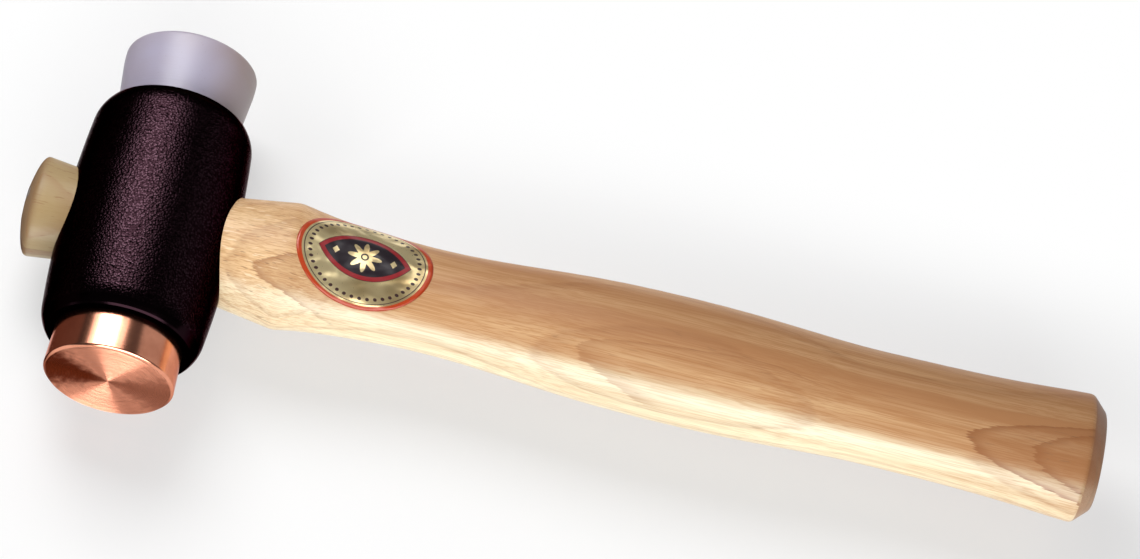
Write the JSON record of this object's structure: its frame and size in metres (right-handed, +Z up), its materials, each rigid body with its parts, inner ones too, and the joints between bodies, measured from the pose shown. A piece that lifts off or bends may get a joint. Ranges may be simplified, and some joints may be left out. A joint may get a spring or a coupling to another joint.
{
  "type": "two-faced bench hammer",
  "caption": "Soft-faced bench hammer lying on its side: crowned cast barrel head with a copper face and a nylon face, on a wedged oval wooden handle with a foil label.",
  "frame": {"origin": "under the middle of the whole hammer, on the plane that the barrel rests on", "axes": "+X along the handle from the head to the butt, +Y along the barrel from the copper face to the nylon face, +Z up through the grip's broad side that carries the foil"},
  "size_m": [0.3218, 0.109, 0.0506],
  "materials": {
    "cast_head": "dark wrinkled enamel over an iron casting",
    "copper": "turned bright copper",
    "nylon": "natural pale nylon, satin from turning",
    "ash_wood": "sanded and waxed",
    "wedge_wood": "sawn hardwood",
    "wedge_steel": "plain stamped steel",
    "foil": "gold foil transfer with a red border"
  },
  "bodies": {
    "hammer": {"head_casting": "cast_head", "handle": "ash_wood", "wood_wedge": "wedge_wood", "steel_wedge": "wedge_steel", "foil_label": "foil"},
    "copper_plug": {"copper_face": "copper"},
    "nylon_plug": {"nylon_face": "nylon"}
  },
  "joints": [
    {"name": "copper_face_draw", "type": "slide", "parent": "hammer", "child": "copper_plug", "axis": [0, -1, 0], "range_m": [0, 0.025]},
    {"name": "nylon_face_draw", "type": "slide", "parent": "hammer", "child": "nylon_plug", "axis": [0, 1, 0], "range_m": [0, 0.025]}
  ]
}
